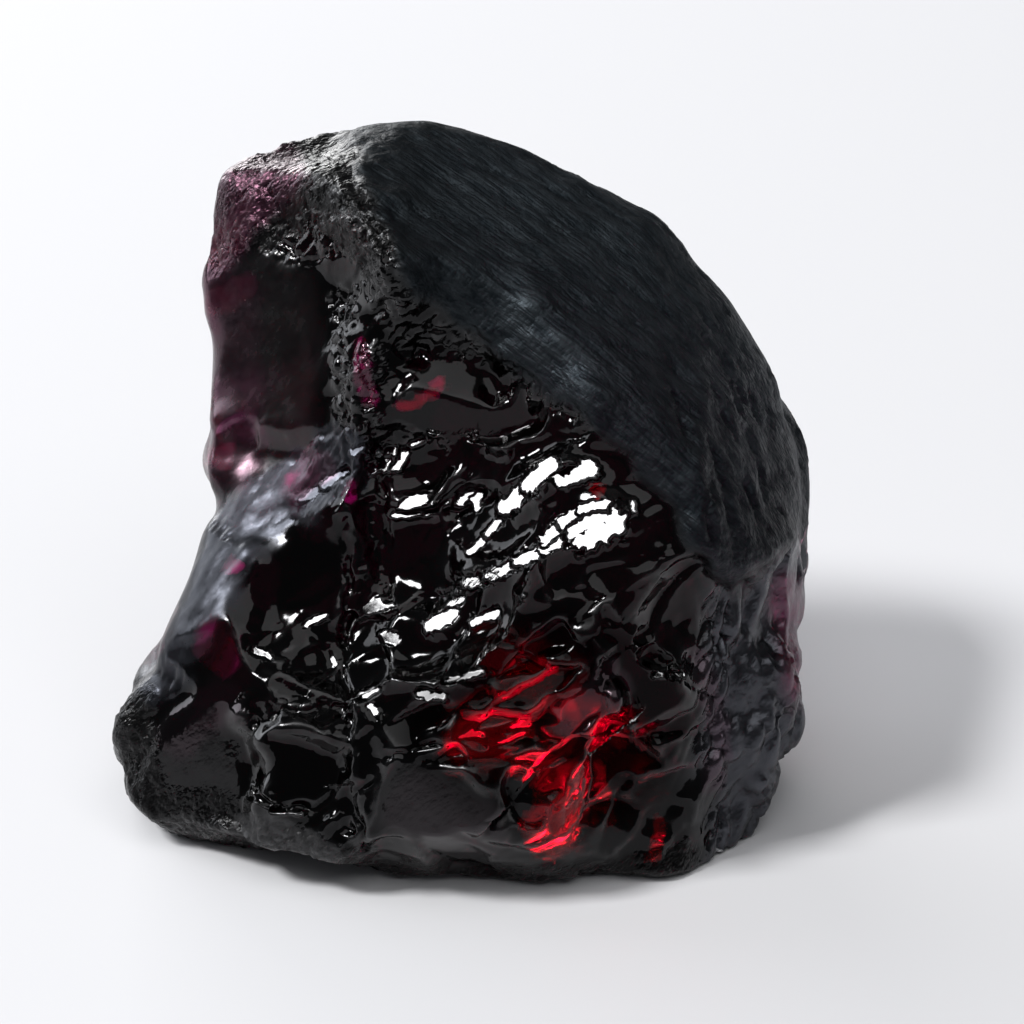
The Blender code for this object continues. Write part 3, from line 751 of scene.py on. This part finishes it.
def cut_facet(points, facing, frayed, line, half_width, way):
    """Points with what stands above a plane around a line on the front cut down to the plane."""
    places = on_front(points)
    distance, _ = along_line(places, line)
    distance = distance * frayed
    members = (distance < half_width) & (facing > 0.0)
    tilt = places @ -np.array((way @ ACROSS, way @ UP_LEAN)) / (way @ OUTWARD)
    above = (points - MIDDLE) @ OUTWARD - tilt
    above = above - np.percentile(above[members], FACET_DEPTH)
    hold = soft_end(distance / half_width, *FACET_EDGE) * smooth_step(*CUT_FRONT, facing)
    return points - OUTWARD * (np.maximum(above, 0.0) * hold)[:, None]


def cut_flats(stone, random):
    """Cuts the larger facets, then the treads as runs of short flat pieces."""
    points, facing = points_of(stone), normals_of(stone) @ OUTWARD
    frayed = fray(points, FACET_FRAY)
    for line, half_width, way in FACETS:
        points = cut_facet(points, facing, frayed, line, half_width, unit(way))
    frayed = fray(points, TREAD_FRAY)
    for line, half_height in TREADS:
        for piece in pieces_of(line, max(TREAD_PIECE, TREAD_PIECE_HEIGHTS * half_height)):
            way = unit(np.array(TREAD_FACING) + random.normal(0.0, TREAD_STRAY, 3))
            points = cut_flat(points, facing, frayed, piece, half_height, way)
    put_points(stone, points)


def open_cracks(stone):
    """Opens the narrow cracks of the front."""
    points, normals = points_of(stone), normals_of(stone)
    places = on_front(points) + sway(points, *CRACK_SWAY)
    gaps = np.clip(0.5 + CRACK_GAPS * uneven(points, CRACK_GAP_WAVE), 0.0, 1.0)
    cut = np.zeros(len(points))
    for line, half_width, depth in CRACKS:
        distance, _ = along_line(places, line)
        cut = np.maximum(cut, depth * gaps * np.clip(1 - distance / half_width, 0.0, 1.0))
    put_points(stone, points - normals * (cut * (normals @ OUTWARD > CRACKED_FROM))[:, None])


def wear_crown(stone, random):
    """Gives the worn crown slow swells, and gouges that run with the wear."""
    points, normals = points_of(stone), normals_of(stone)
    worn = worn_share(points, normals)
    rise = sum(height * uneven(points, wave) for wave, height in SWELLS)
    for zone, count, run, least, most, half_width, depth in GOUGES:
        run = run_on_front(run)
        share = zone_share(zone, points, normals) * (normals @ OUTWARD > 0)
        seeds = scattered(random, points, share + FAINT, count)
        for seed, length in zip(seeds, random.uniform(least, most, count)):
            off = points - seed
            along = off @ run
            aside = np.linalg.norm(off - along[:, None] * run, axis=1)
            hollow = np.clip(1 - (along / length) ** 2 - (aside / half_width) ** 2, 0.0, 1.0)
            rise = rise - depth * hollow
    put_points(stone, points + normals * (np.maximum(rise, WEAR_DEEPEST) * worn)[:, None])


def seat_flat(stone):
    """Sets the lowest stretch of skin flat on the seat."""
    points = points_of(stone)
    low = points[:, 2] < SEAT_LIP
    points[low, 2] = 0.0
    put_points(stone, points)


# --- What the skin is like --------------------------------------------------------------------


def keep_attribute(obj, name, values):
    """Keeps one number per vertex on the mesh."""
    attribute = obj.data.attributes.new(name, "FLOAT", "POINT")
    attribute.data.foreach_set("value", values.astype(np.float32))


def keep_colour(obj, name, colours):
    """Keeps one colour per vertex on the mesh."""
    attribute = obj.data.color_attributes.new(name, "FLOAT_COLOR", "POINT")
    opaque = np.column_stack([colours, np.ones(len(colours))])
    attribute.data.foreach_set("color", opaque.astype(np.float32).ravel())


def painted(points, lines):
    """The amount given by lines on the front, each with a half width and an amount, softly edged."""
    places = on_front(points) + sway(points, *FILM_SWAY)
    amount = np.zeros(len(points))
    for line, half_width, full in lines:
        distance, _ = along_line(places, line)
        amount = np.maximum(amount, full * soft_end(distance / half_width, *FILM_EDGE))
    return amount


def ridges(stone):
    """1 on sharp ridges of the skin, 0 on flats and in hollows."""
    points, normals = points_of(stone), normals_of(stone)
    one, other = edges_of(stone)
    ends = np.concatenate([one, other]), np.concatenate([other, one])
    count = np.bincount(ends[0], minlength=len(points))
    run = points[ends[1]] - points[ends[0]]
    bend = (run * normals[ends[0]]).sum(1) / (run ** 2).sum(1)
    sharp = -2 * np.bincount(ends[0], bend, len(points)) / count
    for _ in range(RIDGE_PASSES):
        sharp = 0.5 * sharp + 0.5 * np.bincount(ends[0], sharp[ends[1]], len(points)) / count
    return smooth_step(*RIDGE_BEND, sharp)


def clear_back(points, worn, flank, front):
    """1 on the clear lower back, 0 on the front, the worn crown and most of the flank."""
    behind = points[:, 1] - BACK_START
    share = smooth_step(-BACK_START_SOFT, BACK_START_SOFT, behind) * (1 - front)
    share *= (1 - worn) * (1 - BACK_FLANK * flank)
    reach, wave = BACK_TOP_SWAY
    below = BACK_CLEAR_TOP - points[:, 2] + reach * uneven(points, wave)
    return share * smooth_step(-BACK_TOP_SOFT, BACK_TOP_SOFT, below)


def kinds_of_skin(stone):
    """How much of each kind of skin each point has, painted glow among them, and how far it is from the
    crown's edge.
    """
    points, normals = points_of(stone), normals_of(stone)
    front = smooth_step(*SKIN_FRONT, normals @ OUTWARD)
    worn, flank = worn_share(points, normals), zone_share("flank", points, normals)
    back = clear_back(points, worn, flank, front)
    always, patches = RIDGE_PATCHES
    return SimpleNamespace(
        worn=worn,
        flank=flank,
        back=back,
        window=zone_share("shards", points, normals),
        frosted=zone_share("frosted", points, normals),
        grainy=near_lines(points, GRAINY) * front,
        slope=near_lines(points, SLOPE) * front,
        ridge=ridges(stone) * (always + patches * uneven(points, RIDGE_WAVE)),
        brushed=painted(points, HAZE) * front,
        # Painted rosy glow in what the skin mirrors.
        painted_rosy_glow=painted(points, PAINTED_ROSY_GLOW) * front,
        # Painted violet glow where light shows through thin edges, and the clear back.
        violet_glow_and_clear_back=np.maximum(painted(points, PAINTED_VIOLET_GLOW) * front, back),
        # Painted glow spots, where the light of the other side shows through.
        clear=painted(points, PAINTED_GLOW_WINDOW) * front,
        smear=0.5 + 0.5 * uneven(points, SMEAR_WAVE),
        cloud=0.5 + 0.5 * uneven(points, CLOUD_WAVE),
        from_edge=along_line(on_front(points), WORN_EDGE)[0],
    )


def haziness(skin):
    """How hazy the skin is: what its haziest kind gives."""
    return np.maximum.reduce([
        skin.brushed, GRAINY_HAZE * skin.grainy, FROSTED_HAZE * skin.frosted,
        FLANK_HAZE * skin.flank, RIDGE_HAZE * skin.ridge,
    ])


def dullness(skin, haze):
    """How dull the skin is, from polished to matt."""
    always, smears = HAZE_PATCHES
    rough = np.maximum(CLEAN_ROUGH + SMEARED_ROUGH * skin.smear, haze * (always + smears * skin.smear))
    rough = np.maximum(rough, SLOPE_ROUGH * skin.slope)
    rough = rough + (WORN_ROUGH + WORN_SMEARED_ROUGH * skin.smear - rough) * skin.worn
    return np.maximum(rough, BACK_ROUGH * skin.back)


def depth_of_bite(skin, haze):
    """How deep the skin's finest relief is."""
    bite = np.maximum.reduce([
        CLEAN_BITE + HAZE_BITE * haze, GRAINY_BITE * skin.grainy,
        FROSTED_BITE * skin.frosted, FLANK_BITE * skin.flank,
    ])
    return bite + (WORN_BITE - bite) * skin.worn


def mirrored_tint(skin):
    """How much the skin mirrors, in each of its three colours: dimmed near the crown's edge as painted
    shade and over the window, with a painted cool reflection on the slope and flank and a painted rosy
    glow.
    """
    gloss = CLEAN_GLOSS + BRUSHED_GLOSS * skin.brushed + SLOPE_GLOSS * skin.slope
    gloss = gloss + FROSTED_GLOSS * skin.frosted + FLANK_GLOSS * skin.flank + RIDGE_GLOSS * skin.ridge
    gloss = gloss + WINDOW_GLOSS * skin.window + PAINTED_ROSY_GLOSS * skin.painted_rosy_glow
    # Painted shade: less mirrored near the crown's edge.
    far_in = smooth_step(0.0, WORN_GLOSS_REACH, skin.from_edge)
    gloss = gloss + (WORN_EDGE_SHADE_GLOSS + (1 - WORN_EDGE_SHADE_GLOSS) * far_in - gloss) * skin.worn
    # Painted cool reflection on the slope and flank, then the painted rosy glow.
    painted_cool = np.maximum(skin.slope, FLANK_PAINTED_COOL_SHARE * skin.flank)
    hue = np.array(PLAIN_SHEEN) + (np.array(PAINTED_COOL_HUE) - PLAIN_SHEEN) * painted_cool[:, None]
    hue = hue + (np.array(PAINTED_ROSY_HUE) - hue) * skin.painted_rosy_glow[:, None]
    hue = hue + (1.0 - hue) * skin.worn[:, None]
    return gloss[:, None] * hue


def passing_tint(skin):
    """How much the skin lets pass, in each of its three colours: near black as painted shade, clear where
    a painted glow shows.
    """
    # Painted shade, near black, to start with; the violet spots and the window then add painted glow.
    tint = np.array(PAINTED_SHADE_SKIN) + (np.array(PAINTED_CLOUDY_SHADE_SKIN) - PAINTED_SHADE_SKIN) * skin.cloud[:, None]
    layers = (skin.worn, WORN_FROST_AND_SHADE_SKIN), (skin.violet_glow_and_clear_back, PAINTED_VIOLET_TINT), (skin.clear, PAINTED_GLOW_SKIN)
    for share, colour in layers:
        tint = tint + (np.array(colour) - tint) * share[:, None]
    return tint


def describe_skin(stone):
    """Keeps on the mesh how worn, dull and bitten the skin is, and how it tints light, painted shade,
    painted glow and painted reflections included.
    """
    skin = kinds_of_skin(stone)
    haze = haziness(skin)
    keep_attribute(stone, "worn", skin.worn)
    keep_attribute(stone, "rough", dullness(skin, haze))
    keep_attribute(stone, "bite", depth_of_bite(skin, haze))
    keep_colour(stone, "tint", passing_tint(skin))
    keep_colour(stone, "sheen_with_painted_tints", mirrored_tint(skin))


# --- Materials --------------------------------------------------------------------------------


def new_material(name):
    """A new material, its node tree and its shader."""
    material = bpy.data.materials.new(name)
    material.use_nodes = True
    return material, material.node_tree, material.node_tree.nodes["Principled BSDF"]


def add_node(tree, kind, inputs=None, **settings):
    """Adds a node, sets it up and joins or sets its inputs."""
    node = tree.nodes.new(kind)
    for name, value in settings.items():
        setattr(node, name, value)
    for name, value in (inputs or {}).items():
        socket = node.inputs[name]
        if isinstance(value, bpy.types.NodeSocket):
            tree.links.new(value, socket)
        else:
            socket.default_value = value
    return node


def mixed_colour(tree, share, first, second):
    """The first colour where share is 0, the second where it is 1."""
    return add_node(
        tree, "ShaderNodeMix", {0: share, 6: first, 7: second}, data_type="RGBA"
    ).outputs[2]


def mixed_number(tree, share, first, second):
    """The first number where share is 0, the second where it is 1."""
    return add_node(
        tree, "ShaderNodeMapRange", {"Value": share, "To Min": first, "To Max": second}
    ).outputs[0]


def drawn_out(tree, place, run, lengths):
    """Texture places drawn out along a direction: lengths in mm along it and twice across it."""
    run = Vector(run).normalized()
    side = run.cross(Vector((0.0, 0.0, 1.0))).normalized()
    turn = Matrix((run, side, run.cross(side))).transposed().to_euler()
    return add_node(
        tree, "ShaderNodeMapping",
        {"Vector": place, "Rotation": tuple(turn), "Scale": tuple(np.array(lengths) * MM)},
        vector_type="TEXTURE",
    ).outputs[0]


def speckle(tree, place, detail=2.0):
    """Soft noise, 0 to 1, over drawn out places."""
    return add_node(
        tree, "ShaderNodeTexNoise", {"Vector": place, "Scale": 1.0, "Detail": detail}
    ).outputs["Fac"]


def crystal_material():
    """Deep red crystal: clear and glossy where it is broken, satin slate where it is worn; painted shade
    darkens what passes through most of the skin, painted glow spots stay clear, and what it mirrors
    carries painted tints.
    """
    material, tree, shader = new_material("painite")
    shader.inputs["Metallic"].default_value = 0.0
    shader.inputs["IOR"].default_value = CRYSTAL_INDEX
    shader.inputs["Transmission Weight"].default_value = 1.0
    place = add_node(tree, "ShaderNodeTexCoord").outputs["Object"]
    worn, rough, bite = (
        add_node(tree, "ShaderNodeAttribute", attribute_name=name).outputs["Fac"]
        for name in ("worn", "rough", "bite")
    )
    tint, sheen_with_painted_tints = (
        add_node(tree, "ShaderNodeAttribute", attribute_name=name).outputs["Color"]
        for name in ("tint", "sheen_with_painted_tints")
    )
    # What passes: painted shade, near black, over most of the skin, clear at the painted glow spots.
    tree.links.new(tint, shader.inputs["Base Color"])

    scratch = speckle(tree, drawn_out(tree, place, CROWN_SCRATCH, SCRATCH_SIZES))
    chatter = speckle(tree, drawn_out(tree, place, CROWN_SCRATCH, CHATTER_SIZES), detail=1.0)
    grain = speckle(tree, drawn_out(tree, place, SLOPE_BRUSH, GRAIN_SIZES))

    scuff = add_node(tree, "ShaderNodeMath", {0: scratch, 1: chatter}, operation="MULTIPLY").outputs[0]
    scuff = mixed_number(tree, scuff, *SCUFF_SPREAD)
    slate = mixed_colour(tree, scuff, SLATE_DARK, SLATE_PALE)
    slate = mixed_colour(tree, worn, UNTINTED, slate)
    # What it mirrors: gloss with painted tints and painted shade, slate on the worn crown.
    sheen_with_painted_tints = add_node(tree, "ShaderNodeVectorMath", {0: sheen_with_painted_tints, 1: slate}, operation="MULTIPLY").outputs[0]
    tree.links.new(sheen_with_painted_tints, shader.inputs["Specular Tint"])
    dulling = mixed_number(tree, grain, *DULL_SPREAD)
    dulled = add_node(tree, "ShaderNodeMath", {0: rough, 1: dulling}, operation="MULTIPLY").outputs[0]
    tree.links.new(dulled, shader.inputs["Roughness"])

    relief = add_node(
        tree, "ShaderNodeMath", {0: chatter, 1: CHATTER_RELIEF, 2: scratch}, operation="MULTIPLY_ADD"
    ).outputs[0]
    relief = add_node(tree, "ShaderNodeMath", {0: relief, 1: grain}, operation="ADD").outputs[0]
    height = add_node(
        tree, "ShaderNodeMix", {0: worn, 2: grain, 3: relief}, data_type="FLOAT"
    ).outputs[0]
    bump = add_node(
        tree, "ShaderNodeBump", {"Height": height, "Strength": bite, "Distance": RELIEF_DEPTH}
    ).outputs["Normal"]
    tree.links.new(bump, shader.inputs["Normal"])

    absorb = add_node(
        tree, "ShaderNodeVolumeAbsorption", {"Density": ABSORB_DENSITY, "Color": ABSORB_COLOUR}
    )
    tree.links.new(absorb.outputs[0], tree.nodes["Material Output"].inputs["Volume"])
    return material


def floor_material():
    """Plain white card."""
    material, _, shader = new_material("card")
    shader.inputs["Base Color"].default_value = CARD_COLOUR
    shader.inputs["Roughness"].default_value = CARD_ROUGH
    return material


# --- The scene --------------------------------------------------------------------------------


def make_stone():
    """The finished stone, riding on the body in place of its solid."""
    random = np.random.RandomState(SEED)
    stone = stone_blank()
    pull_edges(stone, PULLS)
    refine_front(stone)
    wear_crown(stone, random)
    strike_scars(stone, random)
    ease_skin(stone, front_spots(stone, LEVELLED), LEVEL_PASSES)
    break_shards(stone, random)
    ease_skin(stone, front_spots(stone, SMOOTH), SMOOTH_PASSES)
    raise_lumps(stone, random)
    ease_skin(stone, away_from_front(stone), BACK_PASSES)
    refine_treads(stone)
    cut_flats(stone, random)
    open_cracks(stone)
    ease_skin(stone, smooth_step(*CREST_SHARE, ridges(stone)), CREST_PASSES)
    ease_skin(stone, front_spots(stone, BLUNTED), BLUNT_PASSES)
    pull_edges(stone, LAST_PULLS)
    seat_flat(stone)
    describe_skin(stone)
    stone.data.materials.append(crystal_material())
    pick(stone)
    bpy.ops.object.shade_smooth()
    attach(stone, "root")
    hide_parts("rough_painite")


def make_floor():
    """A wide white card just under the stone."""
    deselect_all()
    bpy.ops.mesh.primitive_plane_add(size=CARD_SIZE, location=(0.0, 0.0, -CARD_DROP))
    floor = bpy.context.object
    floor.name = "floor"
    floor.data.materials.append(floor_material())


def make_softbox(name, place, size, power, colour):
    """A flat soft light that faces the stone, unseen by the camera itself."""
    light = bpy.data.lights.new(name, "AREA")
    light.shape = "RECTANGLE"
    light.size, light.size_y = size
    light.energy = power
    light.color = colour
    box = bpy.data.objects.new(name, light)
    bpy.context.scene.collection.objects.link(box)
    box.location = place
    box.rotation_mode = "QUATERNION"
    box.rotation_quaternion = (Vector(LIT_POINT) - Vector(place)).to_track_quat("-Z", "Y")
    box.visible_camera = False


def make_lights():
    """A small bright box overhead, a window and a panel behind, a broad dim fill, and a dim room."""
    for name, place, size, power, colour in SOFTBOXES:
        make_softbox(name, place, size, power, colour)
    world = bpy.data.worlds.new("room")
    bpy.context.scene.world = world
    world.use_nodes = True
    sky = world.node_tree.nodes["Background"]
    sky.inputs["Color"].default_value = ROOM_COLOUR
    sky.inputs["Strength"].default_value = ROOM_STRENGTH


def make_camera():
    """The camera stands square to the leaning front."""
    camera = bpy.data.cameras.new("camera")
    camera.lens = LENS
    camera.clip_start, camera.clip_end = CLIP_NEAR, CLIP_FAR
    stand = bpy.data.objects.new("camera", camera)
    bpy.context.scene.collection.objects.link(stand)
    stand.location = LOOK_AT * MM + OUTWARD * STAND_OFF
    stand.rotation_mode = "QUATERNION"
    stand.rotation_quaternion = Vector(-OUTWARD).to_track_quat("-Z", "Y")
    bpy.context.scene.camera = stand


make_stone()
make_floor()
make_lights()
make_camera()
bpy.context.scene.view_settings.view_transform = "Standard"
